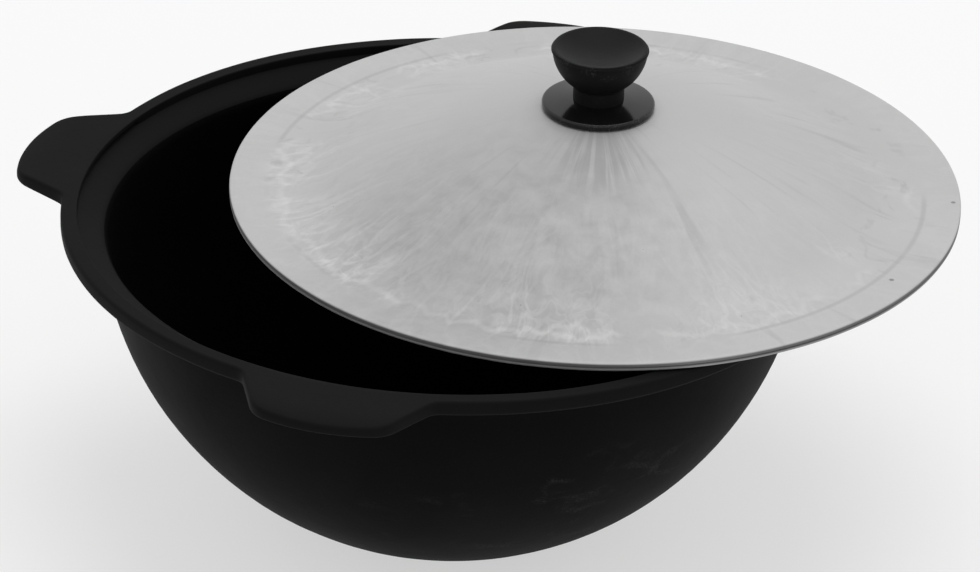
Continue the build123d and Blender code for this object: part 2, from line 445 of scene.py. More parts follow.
@dataclass(frozen=True)
class SpunAluminium:
    """Dull aluminium: pale veins that run out to the brim, wipe marks and specks, with painted shade on the
    dome's front, in front of the knob and on the lip's side.
    """

    shade: float = 0.455
    pale: float = 0.545
    vein: float = 0.70
    # darker grey of the wipe streaks, blots and seam, and of the painted shade in front of the knob
    smudge_and_shade_tone: float = 0.30
    # painted shade: the grey of the darker patch on the dome's front
    front_shade_tone: float = 0.30
    # painted shade: the dark tone of the lip's side
    lip_shade_tone: float = 0.055
    speck: float = 0.16
    metallic: float = 0.45
    roughness: float = 0.54
    mottle_roughness: float = 0.16
    fine_roughness: float = 0.08
    vein_roughness: float = 0.08
    clouds: Pattern = Pattern(0.090, 5.0, 0.8)
    cloud_tone: float = 0.60                # the clouds' share; the mottle has the rest
    mottle: Pattern = Pattern(0.011, 4.0, 0.5)
    fine: Pattern = Pattern(0.0016, 2.0)
    spinning: Pattern = Pattern(1 / 900, 2.0)   # 900 lines to a metre
    relief_depth: float = 0.00010
    relief_shares: Triple = (0.45, 0.30, 0.25)   # of the mottle, the fine grain and the spinning
    ring_inner: Span = (-0.060, -0.008)     # distances outside the dome's foot
    ring_outer: Span = (0.004, -0.003)
    seam_width: Span = (0.0020, 0.0004)
    seam_clouds: Span = (0.40, 0.55)        # levels of the clouds' noise
    seam_share: float = 0.30
    # painted shade on the dome's front: its place, reach and strength
    front_shade_place: Triple = (-0.020, -0.110, 0.020)
    front_shade_reach: Span = (0.135, 0.03375)
    front_shade_even: float = 0.30                # the even share; the mottle has the rest
    front_shade_share: float = 0.85
    # radial noise of the wipe streaks, which also breaks up the painted shade in front of the knob
    wipes_and_shade_rays: Rays = Rays(0.22, 0.20, Pattern(0.016, 4.0, 0.7))
    streaked: Span = (0.55, 0.72)           # levels of the wiping's noise
    streak_clouds: Span = (0.38, 0.60)
    streak_share: float = 0.30
    # painted shade on the dome in front of the knob: its place, reach, noise levels and strength
    knob_shade_place: Triple = (0.014, -0.048, 0.045)
    knob_shade_reach: Span = (0.034, 0.0085)
    knob_shaded: Span = (0.40, 0.62)
    knob_shade_share: float = 0.60
    blots: Pattern = Pattern(0.017, 3.0, 1.2)
    blotted: Span = (0.60, 0.72)
    blot_share: float = 0.28
    # painted shade on the lip's side: where it lies, and less of it on the bead
    side: Span = (0.0014, 0.0007)           # distances inside the brim's edge
    side_top: Span = (0.0003, 0.0012)       # distances below the brim's top
    bead_top: Span = (0.0010, 0.0018)       # heights above the lip
    bead_shade: float = 0.45                # on the bead, and as much again above it
    even_lip_shade: float = 0.75                # the even share; the clouds have the rest
    specks: tuple[Specks, Specks] = (Specks(0.052, 0.032), Specks(0.021, 0.020))
    speck_share: float = 0.75
    long_veins: Rays = Rays(0.17, 0.42, Pattern(0.024, 5.0, 1.1))
    short_veins: Rays = Rays(0.17, 0.75, Pattern(0.012, 4.0, 1.3))
    vein_patches: Rays = Rays(0.17, 0.60, Pattern(0.070, 3.0, 0.5))
    scallops: Rays = Rays(0.17, 0.0, Pattern(0.016, 4.0, 0.4))
    long_width: Span = (0.070, 0.004)       # off the middle level of the noise
    short_width: Span = (0.080, 0.004)
    long_share: float = 0.70
    short_share: float = 0.45
    inner_veins: Span = (0.050, 0.110)      # radii
    inner_share: float = 0.20
    ring_patches: Span = (0.38, 0.58)       # levels of the vein patches' noise
    ring_share: float = 0.75
    scallop_inset: float = 0.020
    scallop_depth: float = 0.026
    scallop_width: Span = (0.0034, 0.0003)
    scallop_patches: Span = (0.36, 0.52)
    scallop_share: float = 0.50
    vein_share: float = 0.48

    def material(self, name: str, centre: Vector, foot: float, edge: Point) -> bpy.types.Material:
        """Build the finish.

        Args:
            name: The material's name.
            centre: The point of the lid's axis that is level with its lip.
            foot: Radius of the dome's foot, at which it runs out into the brim.
            edge: Radius of the brim's edge, and its height above the lip.

        Returns:
            The material.
        """
        graph = Graph(bpy.data.materials.new(name))
        here, radius, away = graph.polar(centre)
        off = radius - foot
        clouds, mottle = graph.noise(here, self.clouds), graph.noise(here, self.mottle)
        fine = graph.noise(here, self.fine)
        ring = graph.fade(off, *self.ring_inner) * graph.fade(off, *self.ring_outer)
        veins = self._veins(graph, radius, away, off, ring)
        seam = graph.fade(abs(off), *self.seam_width) * graph.fade(clouds, *self.seam_clouds)
        wipes_and_shade_rays = graph.rays(radius, away, self.wipes_and_shade_rays)
        streaks = graph.fade(wipes_and_shade_rays, *self.streaked) * graph.fade(clouds, *self.streak_clouds)
        # painted shade on the dome in front of the knob, streaked along the radius
        knob_shaded = graph.near(here, self.knob_shade_place, *self.knob_shade_reach) * graph.fade(wipes_and_shade_rays, *self.knob_shaded)
        # painted shade on the dome's front, broken up by the mottle
        front_shaded = graph.near(here, self.front_shade_place, *self.front_shade_reach)
        front_shaded = front_shaded * (self.front_shade_even + (1 - self.front_shade_even) * mottle)
        blots = graph.fade(graph.noise(here, self.blots), *self.blotted) * ring
        # painted shade on the lip's side, a little uneven with the clouds
        lip_shaded = self._side(graph, edge[0] - radius, graph.height(here), edge[1])
        lip_shaded = lip_shaded * (self.even_lip_shade + (1 - self.even_lip_shade) * clouds)
        wide, close = self.specks
        metal = self.cloud_tone * clouds + (1 - self.cloud_tone) * mottle
        tone = graph.coats(
            graph.blend(metal, grey(self.shade), grey(self.pale)),
            (self.front_shade_share * front_shaded, self.front_shade_tone),
            (self.streak_share * streaks, self.smudge_and_shade_tone),
            (self.knob_shade_share * knob_shaded, self.smudge_and_shade_tone),
            (self.blot_share * blots, self.smudge_and_shade_tone),
            (self.vein_share * veins, self.vein),
            (self.seam_share * seam, self.smudge_and_shade_tone),
            (lip_shaded, self.lip_shade_tone),
            (self.speck_share * (graph.specks(here, wide) + graph.specks(here, close)), self.speck),
        )
        deep, sandy, spun = self.relief_shares
        relief = deep * mottle + sandy * fine + spun * graph.rings(radius, self.spinning)
        rough = self.mottle_roughness * mottle + self.fine_roughness * fine + self.vein_roughness * veins
        values = {
            "Base Color": tone,
            "Metallic": self.metallic,
            "Roughness": self.roughness + rough,
            "Normal": graph.bump(relief, self.relief_depth),
        }
        return graph.surface(values)

    def _side(self, graph: Graph, inside: Signal, height: Signal, top: float) -> Signal:
        """Painted shade on the lip's side, less of it on the bead.

        Args:
            graph: The graph.
            inside: Distance inside the brim's edge.
            height: Height above the lip.
            top: Height of the brim's top.

        Returns:
            1 where the painted shade is darkest and 0 elsewhere.
        """
        side = graph.fade(inside, *self.side) * graph.fade(top - height, *self.side_top)
        return side * (self.bead_shade + self.bead_shade * graph.fade(height, *self.bead_top))

    def _veins(self, graph: Graph, radius: Signal, away: Signal, off: Signal, ring: Signal) -> Signal:
        """Pale veins that run outwards, and the scalloped line that they end in.

        Args:
            graph: The graph.
            radius: Distance from the axis.
            away: Unit vector away from the axis.
            off: Distance outside the dome's foot.
            ring: 1 where the dome runs out into the brim and 0 elsewhere.

        Returns:
            1 on a vein and 0 elsewhere.
        """
        veins = (self.long_veins, self.short_veins, self.vein_patches, self.scallops)
        long_veins, short_veins, patches, wave = (graph.rays(radius, away, rays) for rays in veins)
        lines = self.long_share * graph.fade(abs(long_veins - 0.5), *self.long_width)
        lines = lines + self.short_share * graph.fade(abs(short_veins - 0.5), *self.short_width)
        inner = self.inner_share * graph.fade(radius, *self.inner_veins)
        outer = self.ring_share * ring * graph.fade(patches, *self.ring_patches)
        off_line = abs(off + self.scallop_inset - self.scallop_depth * wave)
        scallops = graph.fade(off_line, *self.scallop_width) * graph.fade(patches, *self.scallop_patches)
        return lines * (outer + inner * (1 - ring)) + self.scallop_share * scallops


@dataclass(frozen=True)
class MouldedBakelite:
    """Black bakelite, glossy when new and rubbed dull by hands, with dust in it."""

    base: float = 0.0066
    dust: float = 0.020
    worn: float = 0.04
    roughness: float = 0.40
    rubbed_roughness: float = 0.16
    worn_roughness: float = 0.25
    specular: float = 0.072
    clouds: Pattern = Pattern(0.010, 4.0, 0.4)
    fine: Pattern = Pattern(0.0011, 2.0)
    relief_depth: float = 0.00004
    cloud_relief: float = 0.6               # the clouds' share; the fine grain has the rest
    dust_clouds: Span = (0.50, 0.72)        # levels of the clouds' noise
    dust_fine: Span = (0.45, 0.65)          # levels of the fine noise
    dust_share: float = 0.30
    specks: Specks = Specks(0.0032, 0.16)
    speck_clouds: Span = (0.52, 0.60)
    speck_share: float = 0.30
    worn_width: Span = (0.0016, 0.0004)     # distances inside the edge
    worn_fine: Span = (0.50, 0.62)
    worn_clouds: Span = (0.46, 0.60)
    worn_share: float = 0.60

    def material(self, name: str, centre: Vector, edge: float) -> bpy.types.Material:
        """Build the finish.

        Args:
            name: The material's name.
            centre: A point on the knob's axis.
            edge: Radius of the piece's outer edge, which is worn.

        Returns:
            The material.
        """
        graph = Graph(bpy.data.materials.new(name))
        here, radius, _ = graph.polar(centre)
        clouds, fine = graph.noise(here, self.clouds), graph.noise(here, self.fine)
        dusty = graph.fade(clouds, *self.dust_clouds) * graph.fade(fine, *self.dust_fine)
        flecks = graph.specks(here, self.specks) * graph.fade(clouds, *self.speck_clouds)
        worn = graph.fade(edge - radius, *self.worn_width) * graph.fade(fine, *self.worn_fine)
        worn = worn * graph.fade(clouds, *self.worn_clouds)
        tone = graph.blend(self.dust_share * dusty, grey(self.base), grey(self.dust))
        pale = self.speck_share * flecks + self.worn_share * worn
        relief = self.cloud_relief * clouds + (1 - self.cloud_relief) * fine
        values = {
            "Base Color": graph.coats(tone, (pale, self.worn)),
            "Roughness": self.roughness + self.rubbed_roughness * clouds + self.worn_roughness * worn,
            "Specular IOR Level": self.specular,
            "Normal": graph.bump(relief, self.relief_depth),
        }
        return graph.surface(values)


@dataclass(frozen=True)
class TurnedMetal:
    """Bright small hardware with turning marks and a dull film in patches."""

    colour: Triple
    tarnish: Triple
    roughness: float = 0.28
    film_roughness: float = 0.25
    film: Pattern = Pattern(0.0024, 4.0, 0.5)
    filmed: Span = (0.40, 0.65)             # levels of the film's noise
    turning: Pattern = Pattern(0.00022, 1.0)
    relief_depth: float = 0.00002

    def material(self, name: str, centre: Vector) -> bpy.types.Material:
        """Build the finish.

        Args:
            name: The material's name.
            centre: A point on the piece's axis.

        Returns:
            The material.
        """
        graph = Graph(bpy.data.materials.new(name))
        here, radius, _ = graph.polar(centre)
        film = graph.noise(here, self.film)
        filmed = graph.fade(film, *self.filmed)
        values = {
            "Base Color": graph.blend(filmed, (*self.colour, 1), (*self.tarnish, 1)),
            "Metallic": 1.0,
            "Roughness": self.roughness + self.film_roughness * film,
            "Normal": graph.bump(graph.rings(radius, self.turning), self.relief_depth),
        }
        return graph.surface(values)


# Turning and dressing of pieces


def deselect_all() -> None:
    """Leave edit mode and deselect every object."""
    if bpy.context.mode != "OBJECT":
        bpy.ops.object.mode_set(mode="OBJECT")
    bpy.ops.object.select_all(action="DESELECT")


def pick(piece: bpy.types.Object) -> None:
    """Select one piece and nothing else.

    Args:
        piece: The piece.
    """
    deselect_all()
    piece.select_set(True)
    bpy.context.view_layer.objects.active = piece


class Turning:
    """A section turned about an upright axis, drawn ring by ring from a circle."""

    def __init__(self, name: str, axis: Vector, columns: int, start: Point, solid_start: bool) -> None:
        """Add the first ring.

        Args:
            name: Name of the piece.
            axis: Point on the axis where the section's height is zero.
            columns: Number of points round the axis.
            start: Radius and height of the first ring.
            solid_start: True to close the first ring with a disc.
        """
        self.axis = axis
        self.radius, self.height = start
        deselect_all()
        bpy.ops.mesh.primitive_circle_add(
            vertices=columns,
            radius=self.radius,
            fill_type="TRIFAN" if solid_start else "NOTHING",
            location=axis + Vector((0, 0, self.height)),
        )
        self.piece = bpy.context.object
        self.piece.name = name
        bpy.ops.object.transform_apply(location=True, rotation=True, scale=True)
        bpy.ops.object.mode_set(mode="EDIT")
        bpy.ops.mesh.select_mode(type="VERT")
        bpy.ops.mesh.select_all(action="SELECT")
        if solid_start:
            bpy.ops.mesh.region_to_loop()

    def to(self, radius: float, height: float, steps: int = 1) -> None:
        """Go straight to a point of the section.

        Args:
            radius: Its distance from the axis.
            height: Its height.
            steps: Number of rings on the way.
        """
        start_r, start_z = self.radius, self.height
        for step in range(1, steps + 1):
            share = step / steps
            self._ring(start_r + share * (radius - start_r), start_z + share * (height - start_z))

    def arc(self, centre: Point, radius: float, height: float, steps: int, turn: int = 0) -> None:
        """Go to a point of the section round a centre.

        Args:
            centre: Radius and height of the arc's centre.
            radius: The end's distance from the axis.
            height: The end's height.
            steps: Number of rings on the way.
            turn: 1 or -1 to go round that way, 0 for the shorter way.
        """
        size = hypot(self.radius - centre[0], self.height - centre[1])
        begin = atan2(self.height - centre[1], self.radius - centre[0])
        swing = atan2(height - centre[1], radius - centre[0]) - begin
        swing = (swing + pi) % (2 * pi) - pi
        if turn * swing < 0:
            swing += 2 * pi * turn
        for step in range(1, steps + 1):
            angle = begin + swing * step / steps
            self._ring(centre[0] + size * cos(angle), centre[1] + size * sin(angle))

    def _ring(self, radius: float, height: float) -> None:
        """Extrude one more ring.

        Args:
            radius: Its radius.
            height: Its height.
        """
        rise = (0, 0, height - self.height)
        bpy.ops.mesh.extrude_region_move(TRANSFORM_OT_translate={"value": rise})
        scale = radius / self.radius
        middle = self.axis + Vector((0, 0, height))
        bpy.ops.transform.resize(value=(scale, scale, 1), center_override=middle)
        self.radius, self.height = radius, height

    def close_pole(self) -> bpy.types.Object:
        """Draw the last ring together on the axis.

        Returns:
            The finished piece.
        """
        bpy.ops.mesh.extrude_region_move(TRANSFORM_OT_translate={"value": (0, 0, 0)})
        bpy.ops.mesh.merge(type="CENTER")
        return self.close()

    def close(self) -> bpy.types.Object:
        """Merge what meets and turn the faces outwards.

        Returns:
            The finished piece.
        """
        bpy.ops.mesh.select_all(action="SELECT")
        bpy.ops.mesh.remove_doubles(threshold=MERGE)
        bpy.ops.mesh.normals_make_consistent(inside=False)
        bpy.ops.object.mode_set(mode="OBJECT")
        return self.piece


def roughen(piece: bpy.types.Object, patch: float, depth: float) -> None:
    """Press a surface in unevenly, as a casting or a spun sheet is.

    Args:
        piece: The piece.
        patch: Width of the uneven patches.
        depth: Greatest depth.
    """
    texture = bpy.data.textures.new(piece.name + "_waves", type="CLOUDS")
    texture.noise_scale = patch
    texture.noise_depth = 2
    waves = piece.modifiers.new("waves", "DISPLACE")
    waves.texture = texture
    waves.texture_coords = "LOCAL"
    waves.strength = depth
    waves.mid_level = 1.0
    pick(piece)
    bpy.ops.object.modifier_apply(modifier=waves.name)


def place_piece(
    piece: bpy.types.Object, node: str, body: Body, slot: Slot, *finishes: bpy.types.Material
) -> None:
    """Dress a piece and let it ride on its body in place of its CAD node.

    Args:
        piece: The piece.
        node: The CAD node that it stands for.
        body: The body that it rides on.
        slot: Not used.
        finishes: Its materials.
    """
    pick(piece)
    bpy.ops.object.shade_smooth_by_angle(angle=radians(SMOOTH_ANGLE))
    for finish in finishes:
        piece.data.materials.append(finish)
    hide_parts(node)
    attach(piece, body.value)
    LOG.info("%s: %d faces, for %s", piece.name, len(piece.data.polygons), node)


def axis_of(node: str) -> Vector:
    """The point of a round CAD node's axis at the node's lowest height."""
    low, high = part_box(node)
    return Vector(((low.x + high.x) / 2, (low.y + high.y) / 2, low.z))


# Sub-assemblies


@dataclass
class CastBowl:
    """Iron bowl with its foot, rim flange, seat and four ears."""

    ball: float = 0.181
    wall: float = 0.0045
    centre_z: float = 0.1745
    foot_blend: float = 0.025
    floor_z: float = 0.0055
    floor_blend: float = 0.080
    flange_r: float = 0.200
    flange_edge: float = 0.008
    flange_root_drop: float = 0.004
    root_blend: float = 0.009
    seat_r: float = 0.1912
    seat_step: float = 0.0046
    ledge_depth: float = 0.011
    ledge_blend: float = 0.007
    edge_round: float = 0.0020
    seat_round: float = 0.0008
    ear_count: int = 4
    ear_root_half: float = 0.046
    ear_tip_half: float = 0.031
    ear_tip_r: float = 0.090
    ear_corner: float = 0.017
    ear_fillet: float = 0.009
    ear_level: float = 0.014
    ear_droop: float = 0.0015
    ear_tip_t: float = 0.0055
    columns: int = 560
    gather: float = 0.12          # radians by which the columns crowd together at the ears
    unevenness: float = 0.0005
    uneven_patch: float = 0.055
    iron: SeasonedIron = SeasonedIron()
    inside: PaintedShadeInside = PaintedShadeInside()

    def __post_init__(self) -> None:
        """Take the rim's height and the ears' reach from the frame."""
        low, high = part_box("cast_bowl")
        self.rim_z = high.z
        self.reach = high.x
        self.root_z = self.rim_z - self.flange_edge - self.flange_root_drop
        self.root_r = sqrt(self.ball**2 - (self.centre_z - self.root_z) ** 2)
        self.face_start = self.seat_r + self.seat_round
        self.face_end = self.flange_r - self.edge_round

    def build(self) -> None:
        """Model the bowl and dress it."""
        piece = self._turn()
        self._draw_out_ears(piece)
        roughen(piece, self.uneven_patch, self.unevenness)
        # the second finish is the inside's painted shade
        finishes = (self.iron.material("iron_as_cast"), self.inside.material("iron_painted_shade_inside"))
        place_piece(piece, "cast_bowl", Body.BOWL, Slot.IRON, *finishes)
        self._paint_inside_shade(piece)

    def _underside(self, radius: float) -> float:
        """Height of the flange's and ears' underside.

        Args:
            radius: Distance from the bowl's axis.

        Returns:
            The height.
        """
        edge_z = self.rim_z - self.flange_edge
        if radius < self.flange_r:
            slope = (edge_z - self.root_z) / (self.flange_r - self.root_r)
            return edge_z - slope * (self.flange_r - radius)
        tip_z = self.rim_z - self.ear_droop - self.ear_tip_t
        run = self.reach + self.edge_round - self.flange_r
        return edge_z + (tip_z - edge_z) * (radius - self.flange_r) / run

    def _topside(self, radius: float) -> float:
        """Height of the ears' top.

        Args:
            radius: Distance from the bowl's axis.

        Returns:
            The height.
        """
        past = radius - self.flange_r - self.ear_level
        run = self.reach - self.flange_r - self.ear_level
        droop_r = (run**2 + self.ear_droop**2) / (2 * self.ear_droop)
        return self.rim_z - (droop_r - sqrt(droop_r**2 - past**2) if past > 0 else 0.0)

    def _rolled(self, sphere: float, size: float, foot: Point, top: Point) -> tuple[Point, Point, Point]:
        """A round that lies against the outside of a sphere and below a straight line.

        Args:
            sphere: Radius of the sphere about the bowl's centre.
            size: Radius of the round.
            foot: Where the line leaves the sphere.
            top: Another point of the line.

        Returns:
            The round's centre, its end on the sphere and its end on the line.
        """
        run, rise = top[0] - foot[0], top[1] - foot[1]
        length = hypot(run, rise)
        along = (run / length, rise / length)
        below = (along[1], -along[0])
        start = (foot[0] + size * below[0], foot[1] - self.centre_z + size * below[1])
        lean = start[0] * along[0] + start[1] * along[1]
        gap = start[0] ** 2 + start[1] ** 2 - (sphere + size) ** 2
        shift = sqrt(lean**2 - gap) - lean
        centre = (start[0] + shift * along[0], start[1] + shift * along[1])
        share = sphere / (sphere + size)
        on_sphere = (share * centre[0], self.centre_z + share * centre[1])
        centre = (centre[0], self.centre_z + centre[1])
        return centre, on_sphere, (centre[0] - size * below[0], centre[1] - size * below[1])

    def _bottom(self, sphere: float, size: float, level: float) -> tuple[Point, Point]:
        """A round between a level bottom and a sphere.

        Args:
            sphere: Radius of the sphere about the bowl's centre.
            size: Radius of the round.
            level: Height of the bottom.

        Returns:
            The round's centre and its end on the sphere.
        """
        drop = self.centre_z - level - size
        centre_r = sqrt((sphere - size) ** 2 - drop**2)
        share = sphere / (sphere - size)
        return (centre_r, level + size), (share * centre_r, self.centre_z - share * drop)

    def _turn(self) -> bpy.types.Object:
        """Turn the bowl and its flange, without ears.

        Returns:
            The mesh.
        """
        inner = self.ball - self.wall
        middle = (0.0, self.centre_z)
        ledge_z = self.rim_z - self.ledge_depth
        ledge = (sqrt(inner**2 - (self.centre_z - ledge_z) ** 2), ledge_z)
        seat = (self.seat_r, self.rim_z - self.seat_step)
        foot_c, foot_end = self._bottom(self.ball, self.foot_blend, 0.0)
        floor_c, floor_end = self._bottom(inner, self.floor_blend, self.floor_z)
        root = (self.root_r, self.root_z)
        edge = (self.flange_r, self.rim_z - self.flange_edge)
        root_c, root_low, root_high = self._rolled(self.ball, self.root_blend, root, edge)
        nose_c, nose_low, nose_high = self._rolled(inner, self.ledge_blend, ledge, seat)
        self.under_start = root_high[0]
        under_z = self._underside(self.face_end)
        low_c = (self.face_end, under_z + self.edge_round)
        high_c = (self.face_end, self.rim_z - self.edge_round)
        seat_c = (self.face_start, self.rim_z - self.seat_round)
        bowl = Turning("kazan_bowl", Vector(), self.columns, (foot_c[0], 0.0), True)
        bowl.arc(foot_c, *foot_end, steps=4)
        bowl.arc(middle, *root_low, steps=30)
        bowl.arc(root_c, *root_high, steps=6)
        bowl.to(self.face_end, under_z, steps=9)
        bowl.arc(low_c, self.flange_r, low_c[1], steps=4)
        bowl.to(self.flange_r, high_c[1])
        bowl.arc(high_c, self.face_end, self.rim_z, steps=4)
        bowl.to(self.face_start, self.rim_z, steps=12)
        bowl.arc(seat_c, self.seat_r, seat_c[1], steps=3)
        bowl.to(*seat, steps=2)
        bowl.to(*nose_high, steps=3)
        bowl.arc(nose_c, *nose_low, steps=5)
        bowl.arc(middle, *floor_end, steps=26)
        bowl.arc(floor_c, floor_c[0], self.floor_z, steps=8)
        bowl.to(floor_c[0] / 3, self.floor_z, steps=2)
        return bowl.close_pole()

    def _outline(self, angle: float) -> tuple[Point, Point]:
        """The rim's outer edge, ears and flange, seen from above.

        Args:
            angle: Direction from the bowl's axis, in radians.

        Returns:
            The point of the outline in that direction, and the outward normal there.
        """
        sector = 2 * pi / self.ear_count
        turned = (angle + sector / 2) % sector - sector / 2
        side = 1.0 if turned >= 0 else -1.0
        ray = (cos(abs(turned)), sin(abs(turned)))
        run = self.reach - self.flange_r
        slant = hypot(run, self.ear_root_half - self.ear_tip_half)
        along = (run / slant, (self.ear_tip_half - self.ear_root_half) / slant)
        out = (-along[1], along[0])
        flank = out[0] * self.reach + out[1] * self.ear_tip_half
        tip_c = (self.reach - self.ear_tip_r, 0.0)
        tip_run = self.ear_tip_r - self.ear_corner
        from_tip = self._seated(tip_run, flank - self.ear_corner - out[0] * tip_c[0], out, along)
        corner = (tip_c[0] + from_tip[0], from_tip[1])
        share = self.ear_tip_r / tip_run
        tip_end = atan2(share * from_tip[1], tip_c[0] + share * from_tip[0])
        fillet = self._seated(self.flange_r + self.ear_fillet, flank + self.ear_fillet, out, along)
        bend = abs(turned)
        if bend < tip_end:
            point, normal = self._hit(ray, tip_c, self.ear_tip_r, 1)
        elif bend < self._angle_past(corner, out, self.ear_corner):
            point, normal = self._hit(ray, corner, self.ear_corner, 1)
        elif bend < self._angle_past(fillet, out, -self.ear_fillet):
            length = flank / (out[0] * ray[0] + out[1] * ray[1])
            point, normal = (length * ray[0], length * ray[1]), out
        elif bend < atan2(fillet[1], fillet[0]):
            point, normal = self._hit(ray, fillet, self.ear_fillet, -1)
        else:
            point, normal = (self.flange_r * ray[0], self.flange_r * ray[1]), ray
        back = angle - turned
        return self._swung(point, side, back), self._swung(normal, side, back)

    @staticmethod
    def _seated(reach: float, offset: float, out: Point, along: Point) -> Point:
        """A round's centre seen from a point, on a line along the flank at an offset from the point."""
        run = sqrt(reach**2 - offset**2)
        return (offset * out[0] + run * along[0], offset * out[1] + run * along[1])

    @staticmethod
    def _angle_past(centre: Point, out: Point, size: float) -> float:
        """Direction of the point where a round meets the flank; the size is below zero for a hollow one."""
        return atan2(centre[1] + size * out[1], centre[0] + size * out[0])

    @staticmethod
    def _hit(ray: Point, centre: Point, size: float, sign: int) -> tuple[Point, Point]:
        """Where a ray from the axis meets a round.

        Args:
            ray: Direction of the ray.
            centre: Centre of the round.
            size: Its radius.
            sign: 1 for a round corner, -1 for a hollow fillet.

        Returns:
            The point and the outward normal.
        """
        lean = ray[0] * centre[0] + ray[1] * centre[1]
        gap = centre[0] ** 2 + centre[1] ** 2 - size**2
        length = lean + sign * sqrt(max(lean**2 - gap, 0.0))
        point = (length * ray[0], length * ray[1])
        normal = (sign * (point[0] - centre[0]) / size, sign * (point[1] - centre[1]) / size)
        return point, normal

    @staticmethod
    def _swung(vector: Point, side: float, back: float) -> Point:
        """Take a vector of the half ear on +X to its own side, 1 or -1, and its ear's direction."""
        x, y = vector[0], side * vector[1]
        return (x * cos(back) - y * sin(back), x * sin(back) + y * cos(back))

    def _draw_out_ears(self, piece: bpy.types.Object) -> None:
        """Draw the flange's rings out to the ears' outline, which no turning can give.

        Args:
            piece: The turned bowl, whose points are moved.
        """
        flat = np.empty(3 * len(piece.data.vertices), np.float32)
        piece.data.vertices.foreach_get("co", flat)
        points = flat.reshape(-1, 3).astype(float)
        middle_z = self.rim_z - self.flange_edge / 2
        outlines: dict[int, tuple[float, Point, Point]] = {}
        for point in points:
            radius = hypot(point[0], point[1])
            if radius < MERGE:
                continue
            angle = atan2(point[1], point[0])
            column = round(angle * self.columns / (2 * pi)) % self.columns
            if column not in outlines:
                turned = 2 * pi * column / self.columns
                turned -= self.gather * sin(self.ear_count * turned)
                outlines[column] = (turned, *self._outline(turned))
            turned, edge, normal = outlines[column]
            above = point[2] > middle_z
            start = self.face_start if above else self.under_start
            if radius > start - MERGE and point[2] > self.root_z:
                self._move_rim_point(point, radius, start, turned, edge, normal, above)
            else:
                point[0], point[1] = radius * cos(turned), radius * sin(turned)
        piece.data.vertices.foreach_set("co", points.astype(np.float32).ravel())
        piece.data.update()

    def _move_rim_point(
        self,
        point: np.ndarray,
        radius: float,
        start: float,
        turned: float,
        edge: Point,
        normal: Point,
        above: bool,
    ) -> None:
        """Move one point of the flange to its place between the flange's root and the outline.

        Args:
            point: The point, which is moved.
            radius: Its distance from the axis.
            start: Radius from which the flange is drawn out.
            turned: Direction of its column.
            edge: The outline's point in that direction.
            normal: The outline's normal there.
            above: True on the top, False on the underside.
        """
        inset = min(self.flange_r - radius, self.edge_round)
        outer = (edge[0] - inset * normal[0], edge[1] - inset * normal[1])
        share = min((radius - start) / (self.face_end - start), 1.0)
        x = (1 - share) * start * cos(turned) + share * outer[0]
        y = (1 - share) * start * sin(turned) + share * outer[1]
        moved = hypot(x, y)
        if above:
            point[2] = self._topside(moved) - (self.rim_z - point[2])
        else:
            base = self._underside(min(radius, self.face_end))
            point[2] = self._underside(moved) + (point[2] - base)
        point[0], point[1] = x, y

    def _paint_inside_shade(self, piece: bpy.types.Object) -> None:
        """Give the faces inside the bowl, below the ledge, the second finish, which is painted shade.

        Args:
            piece: The bowl.
        """
        ledge_z = self.rim_z - self.ledge_depth
        wall_middle = self.ball - self.wall / 2
        centre = Vector((0, 0, self.centre_z))
        for face in piece.data.polygons:
            within = (face.center - centre).length < wall_middle
            if within and self.floor_z / 2 < face.center.z < ledge_z:
                face.material_index = 1


